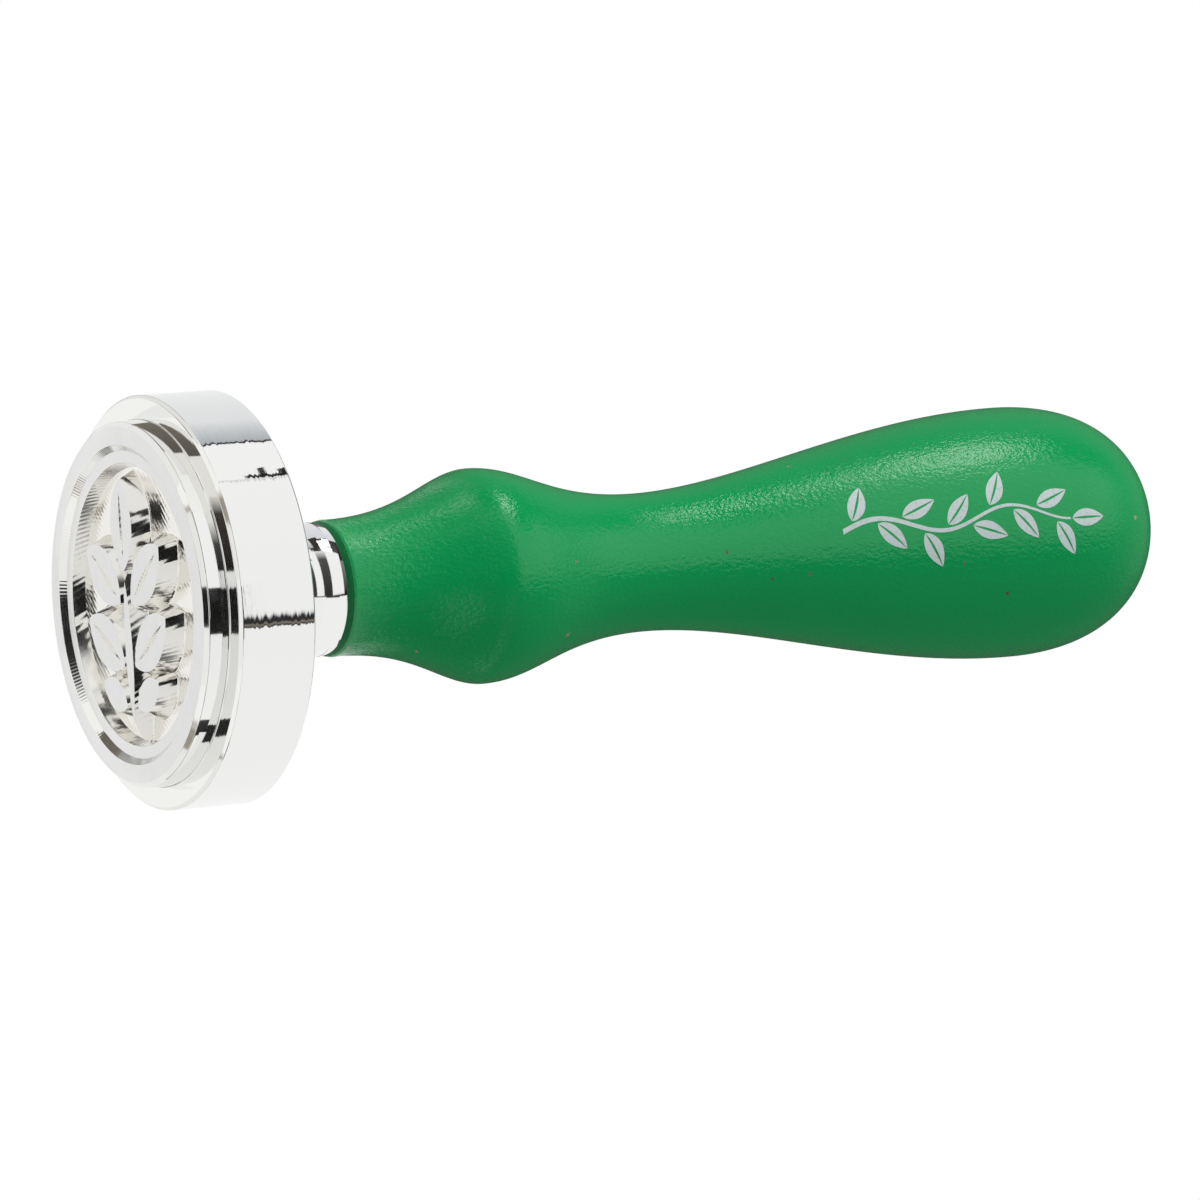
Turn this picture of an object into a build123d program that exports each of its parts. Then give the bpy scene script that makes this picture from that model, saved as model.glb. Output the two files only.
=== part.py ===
# Hand seal stamp: a plated die head, a ball collar, a hanger bolt and a turned, painted handle.
# It stands on the rim of its die. The origin is the centre of the rim's face, and +Z runs up the handle.
import os
from math import sqrt

from build123d import *

os.makedirs("parts", exist_ok=True)

# Die head: a turned disc with a raised rim round its face
head_diameter = 38.0
head_thickness = 9.8
head_front_chamfer = 0.3
head_back_chamfer = 0.4
shoulder_width = 2.2
rim_height = 2.3
rim_edge_chamfer = 0.3

# Die face: a flat land on the rim, a bevel down to a narrow ledge, then the milled pocket
land_width = 1.6
bevel_width = 0.85
ledge_depth = 0.57
ledge_width = 1.1
pocket_depth = 1.7
pocket_wall_lean = 0.45

# Leaf sprig standing in the pocket, with its top level with the land
leaf_length = 8.3
leaf_width = 4.5
bud_length = 5.2
bud_width = 2.9
stem_length = 13.0
stem_width = 1.5
stem_top = 2.2
leaf_stand_off = 1.15
crown_leaf_gap = 0.9
upper_pair_height = 0.2
upper_pair_angle = 52.0
lower_pair_height = -5.6
lower_pair_angle = 58.0
bud_pair_height = -9.3
bud_pair_angle = 64.0
relief_draft = 24.0
relief_root = 0.1
vein_width = 0.6
vein_depth = 0.45
vein_inset = 1.1
vein_draft = 20.0

# Machine thread that joins the handle to the head, and the blind hole that takes it
thread_diameter = 6.0
thread_pitch = 1.0
thread_depth = 0.61
thread_root_gap = 0.2
thread_crest_width = 0.18
thread_runout = 0.6
lead_in_margin = 0.5
bore_clearance = 0.08
web_thickness = 1.0
drill_tip_height = 0.9
tap_runout = 0.7
tap_countersink = 0.5

# Ball collar between the head and the handle
ball_diameter = 12.5
ball_set_back = 1.3
collar_neck_wall = 1.2
collar_neck_length = 2.55
collar_foot_overhang = 0.9
collar_foot_height = 1.3
collar_foot_chamfer = 0.3

# Plain shank and wood thread of the hanger bolt, and the hole in the handle
shank_in_collar = 2.0
shank_in_handle = 2.5
wood_thread_length = 21.0
wood_thread_diameter = 5.8
wood_thread_depth = 0.8
wood_thread_pitch = 2.4
wood_thread_root_gap = 1.2
wood_thread_crest_width = 0.25
wood_point_length = 3.5
thread_root_overlap = 0.12
pilot_clearance = 0.3
pilot_spare = 1.5
glue_gap = 0.05

# Turned handle: front neck, bulb, waist, belly and a domed end.
# An ease is how far the outline runs on straight before it starts to curve away.
neck_diameter = 12.7
neck_edge_round = 0.35
neck_length = 1.3
neck_ease = 8.5
neck_to_bulb = 15.0
bulb_diameter = 20.2
bulb_front_ease = 3.3
bulb_back_ease = 5.1
bulb_to_waist = 17.5
waist_diameter = 13.1
waist_front_ease = 9.4
waist_back_ease = 11.8
waist_to_belly = 40.4
belly_diameter = 24.3
belly_front_ease = 15.1
belly_back_ease = 8.0
belly_to_end = 14.9
end_ease = 9.1

# Radii and heights that several pieces share
thread_radius = thread_diameter / 2
bore_radius = thread_radius + bore_clearance
head_back = head_thickness
tap_bottom = pocket_depth + web_thickness + drill_tip_height
bolt_tip = tap_bottom + tap_runout
ball_radius = ball_diameter / 2
collar_neck_radius = bore_radius + collar_neck_wall
collar_foot_top = head_back + collar_foot_height
ball_start = collar_foot_top + collar_neck_length
ball_centre = ball_start + sqrt(ball_radius**2 - collar_neck_radius**2)
handle_front = ball_centre + ball_set_back
shank_bottom = handle_front - shank_in_collar
shank_top = handle_front + shank_in_handle
wood_thread_radius = wood_thread_diameter / 2
wood_core_radius = wood_thread_radius - wood_thread_depth
bolt_point = shank_top + wood_thread_length


# Outlines of the sprig's leaves, veins, buds and stem, each lying along X from its root
def lens(start, end, width):
    with BuildSketch() as outline:
        with BuildLine():
            SagittaArc((start, 0), (end, 0), width / 2)
            SagittaArc((end, 0), (start, 0), width / 2)
        make_face()
    return outline.sketch


leaf = lens(0, leaf_length, leaf_width)
vein = lens(vein_inset, leaf_length - vein_inset, vein_width)
bud = lens(0, bud_length, bud_width)
stem = lens(0, stem_length, stem_width)


# A place is a height up the sprig, a distance beside the stem and a turn away from it
def pair(height, angle):
    return [(height, side * leaf_stand_off, side * angle) for side in (-1, 1)]


leaf_places = [(stem_top + crown_leaf_gap, 0, 0)]
leaf_places += pair(upper_pair_height, upper_pair_angle)
leaf_places += pair(lower_pair_height, lower_pair_angle)
bud_places = pair(bud_pair_height, bud_pair_angle)
stem_places = [(stem_top - stem_length, 0, 0)]
sprig_turn = 180  # the sprig grows towards -X

# Die head
head_radius = head_diameter / 2
rim_radius = head_radius - shoulder_width
land_outer_radius = rim_radius - rim_edge_chamfer
land_inner_radius = land_outer_radius - land_width
ledge_outer_radius = land_inner_radius - bevel_width
pocket_mouth_radius = ledge_outer_radius - ledge_width
pocket_floor_radius = pocket_mouth_radius - pocket_wall_lean

with BuildPart() as stamp_head:
    with BuildSketch(Plane.XZ):
        with BuildLine():
            Polyline(
                (0, pocket_depth),
                (pocket_floor_radius, pocket_depth),
                (pocket_mouth_radius, ledge_depth),
                (ledge_outer_radius, ledge_depth),
                (land_inner_radius, 0),
                (land_outer_radius, 0),
                (rim_radius, rim_edge_chamfer),
                (rim_radius, rim_height),
                (head_radius - head_front_chamfer, rim_height),
                (head_radius, rim_height + head_front_chamfer),
                (head_radius, head_back - head_back_chamfer),
                (head_radius - head_back_chamfer, head_back),
                (bore_radius + tap_countersink, head_back),
                (bore_radius, head_back - tap_countersink),
                (bore_radius, tap_bottom),
                (0, tap_bottom - drill_tip_height),
                close=True,
            )
        make_face()
    revolve(axis=Axis.Z)
    for shape, places in ((leaf, leaf_places), (bud, bud_places), (stem, stem_places)):
        for height, beside, turn in places:
            with BuildSketch(Plane.XY):
                with Locations((-height, -beside)):
                    add(shape, rotation=sprig_turn + turn)
            extrude(amount=pocket_depth + relief_root, taper=-relief_draft)
    for height, beside, turn in leaf_places:
        with BuildSketch(Plane.XY):
            with Locations((-height, -beside)):
                add(vein, rotation=sprig_turn + turn)
        extrude(amount=vein_depth, taper=vein_draft, mode=Mode.SUBTRACT)
stamp_head.part.label = "stamp_head"
export_step(stamp_head.part, "parts/stamp_head.step")

# Ball collar
collar_foot_radius = collar_neck_radius + collar_foot_overhang
ball_end_radius = sqrt(ball_radius**2 - ball_set_back**2)

with BuildPart() as collar:
    with BuildSketch(Plane.XZ):
        with BuildLine():
            foot = Polyline(
                (bore_radius, handle_front),
                (bore_radius, head_back),
                (collar_foot_radius - collar_foot_chamfer, head_back),
                (collar_foot_radius, head_back + collar_foot_chamfer),
                (collar_foot_radius, collar_foot_top - collar_foot_chamfer),
                (collar_foot_radius - collar_foot_chamfer, collar_foot_top),
                (collar_neck_radius, collar_foot_top),
                (collar_neck_radius, ball_start),
            )
            ball = ThreePointArc(foot @ 1, (ball_radius, ball_centre), (ball_end_radius, handle_front))
            Line(ball @ 1, foot @ 0)
        make_face()
    revolve(axis=Axis.Z)
collar.part.label = "collar"
export_step(collar.part, "parts/collar.step")


# Hanger bolt: machine thread below, plain shank at the handle's face, wood thread and point above
def thread_tooth(path, depth, root_width, crest_width):
    with BuildSketch(Plane(origin=path @ 0, x_dir=(1, 0, 0), z_dir=path % 0)) as tooth:
        with BuildLine():
            Polyline(
                (-thread_root_overlap, -root_width / 2),
                (depth, -crest_width / 2),
                (depth, crest_width / 2),
                (-thread_root_overlap, root_width / 2),
                close=True,
            )
        make_face()
    return tooth.sketch


thread_core_radius = thread_radius - thread_depth
thread_start = bolt_tip + thread_pitch / 2
thread_end = shank_bottom - thread_depth - thread_runout
wood_thread_start = shank_top + wood_thread_pitch / 2
wood_thread_end = bolt_point - wood_point_length - wood_thread_pitch / 2

with BuildPart() as hanger_bolt:
    with BuildSketch(Plane.XZ):
        with BuildLine():
            Polyline(
                (0, bolt_tip),
                (thread_core_radius, bolt_tip),
                (thread_core_radius, shank_bottom - thread_depth),
                (thread_radius, shank_bottom),
                (thread_radius, shank_top - wood_thread_depth),
                (wood_core_radius, shank_top),
                (wood_core_radius, bolt_point - wood_point_length),
                (0, bolt_point),
                close=True,
            )
        make_face()
    revolve(axis=Axis.Z)
    with BuildLine() as machine_helix:
        Helix(thread_pitch, thread_end - thread_start, thread_core_radius, center=(0, 0, thread_start))
    sweep(
        thread_tooth(machine_helix.line, thread_depth, thread_pitch - thread_root_gap, thread_crest_width),
        path=machine_helix.line,
        is_frenet=True,
    )
    with BuildSketch(Plane.XZ):  # cone that leads the thread into its hole
        with BuildLine():
            Polyline(
                (thread_core_radius, bolt_tip),
                (thread_core_radius, bolt_tip - lead_in_margin),
                (thread_radius + lead_in_margin, bolt_tip - lead_in_margin),
                (thread_radius + lead_in_margin, bolt_tip + thread_depth + lead_in_margin),
                close=True,
            )
        make_face()
    revolve(axis=Axis.Z, mode=Mode.SUBTRACT)
    with BuildLine() as wood_helix:
        Helix(
            wood_thread_pitch,
            wood_thread_end - wood_thread_start,
            wood_core_radius,
            center=(0, 0, wood_thread_start),
        )
    sweep(
        thread_tooth(
            wood_helix.line,
            wood_thread_depth,
            wood_thread_pitch - wood_thread_root_gap,
            wood_thread_crest_width,
        ),
        path=wood_helix.line,
        is_frenet=True,
    )
hanger_bolt.part.label = "hanger_bolt"
export_step(hanger_bolt.part, "parts/hanger_bolt.step")

# Turned handle
neck_radius = neck_diameter / 2
bulb_radius = bulb_diameter / 2
waist_radius = waist_diameter / 2
belly_radius = belly_diameter / 2
neck_end = handle_front + neck_length
bulb_at = neck_end + neck_to_bulb
waist_at = bulb_at + bulb_to_waist
belly_at = waist_at + waist_to_belly
handle_end = belly_at + belly_to_end
shank_hole_radius = thread_radius + glue_gap
pilot_radius = wood_core_radius + pilot_clearance
pilot_end = bolt_point + pilot_spare

with BuildPart() as handle:
    with BuildSketch(Plane.XZ):
        with BuildLine():
            bore = Polyline(
                (0, handle_end),
                (0, pilot_end),
                (pilot_radius, pilot_end),
                (pilot_radius, shank_top),
                (shank_hole_radius, shank_top),
                (shank_hole_radius, handle_front),
                (neck_radius - neck_edge_round, handle_front),
            )
            edge = JernArc(bore @ 1, (1, 0), neck_edge_round, 90)
            neck = Line(edge @ 1, (neck_radius, neck_end))
            Bezier(
                neck @ 1,
                (neck_radius, neck_end + neck_ease),
                (bulb_radius, bulb_at - bulb_front_ease),
                (bulb_radius, bulb_at),
            )
            Bezier(
                (bulb_radius, bulb_at),
                (bulb_radius, bulb_at + bulb_back_ease),
                (waist_radius, waist_at - waist_front_ease),
                (waist_radius, waist_at),
            )
            Bezier(
                (waist_radius, waist_at),
                (waist_radius, waist_at + waist_back_ease),
                (belly_radius, belly_at - belly_front_ease),
                (belly_radius, belly_at),
            )
            Bezier(
                (belly_radius, belly_at),
                (belly_radius, belly_at + belly_back_ease),
                (end_ease, handle_end),
                (0, handle_end),
            )
        make_face()
    revolve(axis=Axis.Z)
handle.part.label = "handle"
export_step(handle.part, "parts/handle.step")
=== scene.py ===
import math

import bmesh
import bpy
import numpy as np
from mathutils import Matrix, Vector
from mathutils.geometry import interpolate_bezier


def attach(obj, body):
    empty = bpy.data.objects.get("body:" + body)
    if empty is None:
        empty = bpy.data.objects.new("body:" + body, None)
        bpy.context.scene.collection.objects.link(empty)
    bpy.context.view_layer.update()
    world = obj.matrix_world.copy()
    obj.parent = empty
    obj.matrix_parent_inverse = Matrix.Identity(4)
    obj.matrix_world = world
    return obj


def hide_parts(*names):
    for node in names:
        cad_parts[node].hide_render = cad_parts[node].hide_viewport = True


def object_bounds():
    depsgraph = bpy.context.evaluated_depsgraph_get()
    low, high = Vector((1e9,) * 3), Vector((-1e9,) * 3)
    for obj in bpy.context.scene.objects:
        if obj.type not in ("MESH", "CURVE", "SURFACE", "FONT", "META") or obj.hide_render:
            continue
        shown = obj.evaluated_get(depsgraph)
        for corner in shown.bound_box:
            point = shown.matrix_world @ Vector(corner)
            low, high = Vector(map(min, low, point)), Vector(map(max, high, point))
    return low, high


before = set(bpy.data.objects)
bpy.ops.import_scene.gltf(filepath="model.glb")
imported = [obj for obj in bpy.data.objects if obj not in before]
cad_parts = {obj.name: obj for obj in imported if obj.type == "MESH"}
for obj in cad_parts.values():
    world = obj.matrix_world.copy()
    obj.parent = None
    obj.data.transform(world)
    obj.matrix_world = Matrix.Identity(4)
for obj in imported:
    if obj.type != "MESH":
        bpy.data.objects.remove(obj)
cadLow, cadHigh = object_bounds()
mm = 0.001
sharpFold = math.radians(50)  # folds sharper than this stay crisp
print("frame loaded:", sorted(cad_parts))


# meshes made of rings round the stamp's axis

def softCorners(corners, steps=4, guard=0.04 * mm):
    # each corner is (radius, height, softness, finish of the run that follows it)
    points, finishes = [], []
    for i, (radius, height, soft, finish) in enumerate(corners):
        here = Vector((radius, height))
        if not soft:
            points.append(here)
            finishes.append(finish)
            continue
        back = (Vector(corners[i - 1][:2]) - here).normalized()
        ahead = (Vector(corners[i + 1][:2]) - here).normalized()
        reach = soft * math.tan(back.angle(-ahead) / 2)
        start, end = here + back * reach, here + ahead * reach
        points.append(start + back * guard)  # keeps the flat beside the edge flat
        finishes.append(corners[i - 1][3])
        for k in range(steps + 1):
            t = k / steps
            points.append(start * (1 - t) ** 2 + here * 2 * t * (1 - t) + end * t ** 2)
            finishes.append(finish if k == steps else corners[i - 1][3])
        points.append(end + ahead * guard)
        finishes.append(finish)
    return np.array([p[:] for p in points]), finishes


def spin(outline, sides):
    # an outline of (radius, height) turned into rings of points
    turns = np.arange(sides) * 2 * math.pi / sides
    radius, height = outline[:, 0:1], outline[:, 1:2]
    return np.stack([radius * np.cos(turns), radius * np.sin(turns), height + 0 * turns], axis=2)


def ringMesh(name, rings, finishes, materials, firstPole=None, lastPole=None, cuts=None, cutFinishes=None):
    # rows given in cuts are cut into triangles along the chosen diagonal, the rest stay quads
    count, sides = rings.shape[:2]
    points = rings.reshape(-1, 3).tolist()
    index = np.arange(count * sides).reshape(count, sides)
    ahead = np.roll(index, -1, axis=1)
    quads = np.stack([index[:-1], ahead[:-1], ahead[1:], index[1:]], axis=2)
    faces, looks = [], []
    if cuts is not None:
        faces += diagonals(*np.moveaxis(quads[:len(cuts)], 2, 0), cuts).reshape(-1, 3).tolist()
        looks += cutFinishes.reshape(-1).tolist()
        quads = quads[len(cuts):]
    faces += quads.reshape(-1, 4).tolist()
    looks += np.asarray(finishes).reshape(-1).tolist()
    firstLook, lastLook = looks[0], looks[-1]
    if firstPole is not None:
        points.append(list(firstPole))
        faces += [[len(points) - 1, b, a] for a, b in zip(index[0].tolist(), ahead[0].tolist())]
        looks += [firstLook] * sides
    if lastPole is not None:
        points.append(list(lastPole))
        faces += [[len(points) - 1, a, b] for a, b in zip(index[-1].tolist(), ahead[-1].tolist())]
        looks += [lastLook] * sides
    mesh = bpy.data.meshes.new(name)
    mesh.from_pydata(points, [], faces)
    for material in materials:
        mesh.materials.append(material)
    mesh.polygons.foreach_set("material_index", looks)
    mesh.polygons.foreach_set("use_smooth", [True] * len(faces))
    mesh.set_sharp_from_angle(angle=sharpFold)
    piece = bpy.data.objects.new(name, mesh)
    bpy.context.scene.collection.objects.link(piece)
    return piece


def diagonals(a, b, c, d, cuts):
    # two triangles for each quad, cut from a to c where cuts is true and from b to d elsewhere
    one = np.stack([np.stack([a, b, c], axis=2), np.stack([a, c, d], axis=2)], axis=2)
    two = np.stack([np.stack([a, b, d], axis=2), np.stack([b, c, d], axis=2)], axis=2)
    return np.where(cuts.reshape(cuts.shape + (1,) * (one.ndim - 2)), one, two)


# node helpers

def newFinish(name):
    material = bpy.data.materials.new(name)
    material.use_nodes = True
    nodes = material.node_tree.nodes
    return material, nodes, material.node_tree.links, nodes["Principled BSDF"]


def addNode(nodes, kind, settings=None, inputs=None):
    node = nodes.new(kind)
    for key, value in (settings or {}).items():
        setattr(node, key, value)
    for key, value in (inputs or {}).items():
        node.inputs[key].default_value = value
    return node


def stretchedNoise(nodes, links, scale, detail=3.0, rough=0.55):
    # noise in the frame's own axes, finer along an axis with a larger scale
    place = addNode(nodes, "ShaderNodeTexCoord")
    stretch = addNode(nodes, "ShaderNodeMapping", inputs={"Scale": scale})
    noise = addNode(nodes, "ShaderNodeTexNoise",
                    inputs={"Scale": 1.0, "Detail": detail, "Roughness": rough})
    links.new(place.outputs["Object"], stretch.inputs["Vector"])
    links.new(stretch.outputs["Vector"], noise.inputs["Vector"])
    return noise.outputs["Fac"]


def bumpFrom(nodes, links, height, distance, under=None):
    bump = addNode(nodes, "ShaderNodeBump", inputs={"Strength": 1.0, "Distance": distance})
    links.new(height, bump.inputs["Height"])
    if under is not None:
        links.new(under, bump.inputs["Normal"])
    return bump.outputs["Normal"]


def spread(nodes, links, value, low, high, fromLow=0.3, fromHigh=0.7, way="LINEAR"):
    reach = addNode(nodes, "ShaderNodeMapRange", {"interpolation_type": way},
                    {"From Min": fromLow, "From Max": fromHigh, "To Min": low, "To Max": high})
    links.new(value, reach.inputs["Value"])
    return reach.outputs["Result"]


def mixColours(nodes, links, amount, first, second):
    # each colour is a fixed one or comes from another node
    mix = addNode(nodes, "ShaderNodeMix", {"data_type": "RGBA"})
    links.new(amount, mix.inputs[0])
    for place, colour in ((6, first), (7, second)):
        if isinstance(colour, bpy.types.NodeSocket):
            links.new(colour, mix.inputs[place])
        else:
            mix.inputs[place].default_value = colour
    return mix.outputs[2]


def joined(nodes, links, operation, *values, kind="ShaderNodeMath"):
    # one step of arithmetic on numbers and the outputs of other nodes
    step = addNode(nodes, kind, {"operation": operation})
    for place, value in enumerate(values):
        if isinstance(value, bpy.types.NodeSocket):
            links.new(value, step.inputs[place])
        else:
            step.inputs[place].default_value = value
    return step.outputs["Value" if operation in ("LENGTH", "DOT_PRODUCT") else 0]


def joinedVectors(nodes, links, operation, *values):
    return joined(nodes, links, operation, *values, kind="ShaderNodeVectorMath")


def aroundAxis(nodes, links):
    # a point's place, that place split in three, and its turn round the axis
    place = addNode(nodes, "ShaderNodeTexCoord").outputs["Object"]
    parts = addNode(nodes, "ShaderNodeSeparateXYZ")
    links.new(place, parts.inputs["Vector"])
    return place, parts.outputs, joined(nodes, links, "ARCTAN2", parts.outputs["Y"], parts.outputs["X"])


def mottled(name, look):
    # one noise drives the colour, the gloss and the bump
    material, nodes, links, shader = newFinish(name)
    cloud = stretchedNoise(nodes, links, look["scale"], *look["noise"])
    cover = spread(nodes, links, cloud, *look["cover"]) if "cover" in look else cloud
    links.new(mixColours(nodes, links, cover, *look["colours"]), shader.inputs["Base Color"])
    links.new(spread(nodes, links, cloud, *look["gloss"]), shader.inputs["Roughness"])
    links.new(bumpFrom(nodes, links, cloud, look["bump"]), shader.inputs["Normal"])
    return material, shader


# plated finishes of the die head and the collar

def mirrorPlate():
    look = {"colour": (0.90, 0.90, 0.885, 1), "haze": (0.03, 0.09), "smearScale": (420, 420, 420),
            "ripple": 0.0012 * mm, "rippleScale": (260, 260, 1900)}
    material, nodes, links, shader = newFinish("mirrorPlate")
    shader.inputs["Base Color"].default_value = look["colour"]
    shader.inputs["Metallic"].default_value = 1.0
    smear = stretchedNoise(nodes, links, look["smearScale"], 4)
    links.new(spread(nodes, links, smear, *look["haze"]), shader.inputs["Roughness"])
    ripple = stretchedNoise(nodes, links, look["rippleScale"], 2)
    links.new(bumpFrom(nodes, links, ripple, look["ripple"]), shader.inputs["Normal"])
    return material


def turnedPlate():
    # fine lathe lines on the body, the shoulder and the back, each with its own slight twist
    look = {"colour": (0.90, 0.90, 0.89, 1), "haze": (0.02, 0.07), "brushed": 0.4, "quarterTurn": 0.25,
            "lines": 0.0012 * mm, "lineScale": (60, 60, 7600), "chatter": 0.002 * mm,
            "chatterScale": (1100, 1100, 4200), "twist": 0.014, "twistScale": (3600, 3600, 4)}
    material, nodes, links, shader = newFinish("turnedPlate")
    shader.inputs["Base Color"].default_value = look["colour"]
    shader.inputs["Metallic"].default_value = 1.0
    shader.inputs["Anisotropic"].default_value = look["brushed"]
    shader.inputs["Anisotropic Rotation"].default_value = look["quarterTurn"]
    lathe = addNode(nodes, "ShaderNodeTangent", {"direction_type": "RADIAL", "axis": "Z"})
    tangent = lathe.outputs["Tangent"]
    links.new(tangent, shader.inputs["Tangent"])
    lines = stretchedNoise(nodes, links, look["lineScale"], 4)
    links.new(spread(nodes, links, lines, *look["haze"]), shader.inputs["Roughness"])
    low = bumpFrom(nodes, links, lines, look["lines"])
    chatter = stretchedNoise(nodes, links, look["chatterScale"], 2)
    low = bumpFrom(nodes, links, chatter, look["chatter"], under=low)

    # noise over radius, height and turn makes rings that tilt the surface along its lines
    place, parts, turn = aroundAxis(nodes, links)
    flat = joinedVectors(nodes, links, "MULTIPLY", place, (1, 1, 0))
    grooves = addNode(nodes, "ShaderNodeCombineXYZ")
    links.new(joinedVectors(nodes, links, "LENGTH", flat), grooves.inputs["X"])
    links.new(parts["Z"], grooves.inputs["Y"])
    links.new(turn, grooves.inputs["Z"])
    stretch = addNode(nodes, "ShaderNodeMapping", inputs={"Scale": look["twistScale"]})
    links.new(grooves.outputs["Vector"], stretch.inputs["Vector"])
    noise = addNode(nodes, "ShaderNodeTexNoise", inputs={"Scale": 1.0, "Detail": 3.0})
    links.new(stretch.outputs["Vector"], noise.inputs["Vector"])
    twist = addNode(nodes, "ShaderNodeVectorMath", {"operation": "SCALE"})
    links.new(tangent, twist.inputs[0])
    amount = spread(nodes, links, noise.outputs["Fac"], -look["twist"], look["twist"])
    links.new(amount, twist.inputs["Scale"])
    tilted = joinedVectors(nodes, links, "ADD", low, twist.outputs["Vector"])
    links.new(joinedVectors(nodes, links, "NORMALIZE", tilted), shader.inputs["Normal"])
    return material


def satinPlate():
    # ground flat before plating, with faint marks all one way
    look = {"dark": (0.79, 0.80, 0.80, 1), "light": (0.86, 0.865, 0.865, 1), "haze": (0.30, 0.42),
            "cloudScale": (520, 520, 520), "marks": 0.003 * mm, "markScale": (160, 3600, 160)}
    material, nodes, links, shader = newFinish("satinPlate")
    shader.inputs["Metallic"].default_value = 1.0
    cloud = stretchedNoise(nodes, links, look["cloudScale"], 6, 0.65)
    links.new(mixColours(nodes, links, cloud, look["dark"], look["light"]), shader.inputs["Base Color"])
    marks = stretchedNoise(nodes, links, look["markScale"], 3)
    links.new(spread(nodes, links, marks, *look["haze"]), shader.inputs["Roughness"])
    links.new(bumpFrom(nodes, links, marks, look["marks"]), shader.inputs["Normal"])
    return material


def milledPlate():
    # cutter marks on the pocket's floor and walls
    look = {"dark": (0.84, 0.825, 0.78, 1), "light": (0.91, 0.90, 0.87, 1), "haze": (0.05, 0.16),
            "cloudScale": (300, 300, 300), "swirl": 0.01 * mm, "swirlScale": (700, 2300, 900),
            "passes": 0.006 * mm, "passScale": 897.0}
    material, nodes, links, shader = newFinish("milledPlate")
    shader.inputs["Metallic"].default_value = 1.0
    cloud = stretchedNoise(nodes, links, look["cloudScale"], 4)
    links.new(mixColours(nodes, links, cloud, look["dark"], look["light"]), shader.inputs["Base Color"])
    links.new(spread(nodes, links, cloud, *look["haze"]), shader.inputs["Roughness"])
    swirl = stretchedNoise(nodes, links, look["swirlScale"], 3)
    low = bumpFrom(nodes, links, swirl, look["swirl"])
    place = addNode(nodes, "ShaderNodeTexCoord")
    passes = addNode(nodes, "ShaderNodeTexWave", {"bands_direction": "DIAGONAL"},
                     {"Scale": look["passScale"], "Distortion": 1.2, "Detail": 1.0, "Detail Scale": 0.4})
    links.new(place.outputs["Object"], passes.inputs["Vector"])
    low = bumpFrom(nodes, links, passes.outputs["Fac"], look["passes"], under=low)
    links.new(low, shader.inputs["Normal"])
    return material


def ribbedPlate():
    # the bevel inside the rim carries fine ribs that point at the middle
    look = {"colour": (0.90, 0.895, 0.875, 1), "haze": (0.04, 0.11), "smearScale": (240, 240, 240),
            "ribs": 268, "depth": 0.0035 * mm, "worn": (0.35, 0.6)}
    material, nodes, links, shader = newFinish("ribbedPlate")
    shader.inputs["Base Color"].default_value = look["colour"]
    shader.inputs["Metallic"].default_value = 1.0
    smear = stretchedNoise(nodes, links, look["smearScale"], 3)
    links.new(spread(nodes, links, smear, *look["haze"]), shader.inputs["Roughness"])
    turn = aroundAxis(nodes, links)[2]
    wave = joined(nodes, links, "SINE", joined(nodes, links, "MULTIPLY", turn, look["ribs"]))
    worn = joined(nodes, links, "MULTIPLY", wave, spread(nodes, links, smear, 0.0, 1.0, *look["worn"]))
    links.new(bumpFrom(nodes, links, worn, look["depth"]), shader.inputs["Normal"])
    return material


# die head: turned body, raised rim, milled pocket and a leaf sprig in relief

dieHead = {
    "sides": 498,
    "faceRings": 120,
    "pocketFloor": (12.5 * mm, 1.7 * mm),
    "outline": [  # radius, height, softness, finish of the next run
        (12.95, 0.57, 0.06, "satin"),
        (14.05, 0.57, 0.05, "ribbed"),
        (14.60, 0.00, 0.06, "satin"),
        (16.26, 0.00, 0.05, "mirror"),
        (16.70, 0.40, 0.12, "mirror"),
        (16.80, 2.30, 0.12, "turned"),
        (18.70, 2.30, 0.06, "mirror"),
        (19.00, 2.60, 0.08, "turned"),
        (19.00, 9.66, 0.05, "satin"),
        (18.86, 9.80, 0.05, "turned"),
        (3.58, 9.80, 0.05, "mirror"),
        (3.08, 9.30, 0.00, "mirror"),
        (3.08, 3.60, 0.00, "mirror"),
        (0.05, 2.71, 0.00, "mirror"),
    ],
    "drillTip": 2.7 * mm,
    "draft": math.radians(24),
    "veinDraft": math.radians(20),
    "veinDepth": 0.45 * mm,
    "floorRound": 0.18 * mm,
    "topFlat": 0.02 * mm,  # the ground finish reaches this far down
    "leaf": (0, 8.3, 4.5),  # start, end and width along the piece's own line
    "vein": (1.1, 7.2, 0.6),
    "bud": (0, 5.2, 2.9),
    "stem": (0, 13.0, 1.5),
    "leaves": [(3.1, 0, 0), (0.2, -1.15, -52), (0.2, 1.15, 52), (-5.6, -1.15, -58), (-5.6, 1.15, 58)],
    "buds": [(-9.3, -1.15, -64), (-9.3, 1.15, 64)],
    "stems": [(-10.8, 0, 0)],
}


def lensDistance(x, y, lens, place):
    # how far a point lies outside a lens whose root is up the sprig, beside the stem and turned from it
    start, end, width = (v * mm for v in lens)
    up, beside, turn = place[0] * mm, place[1] * mm, math.radians(180 + place[2])
    dx, dy = x + up, y + beside
    along = dx * math.cos(turn) + dy * math.sin(turn) - (start + end) / 2
    across = dy * math.cos(turn) - dx * math.sin(turn)
    half, bulge = (end - start) / 2, width / 2
    bend = (half ** 2 + bulge ** 2) / (2 * bulge)
    return np.hypot(along, np.abs(across) + bend - bulge) - bend


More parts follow.
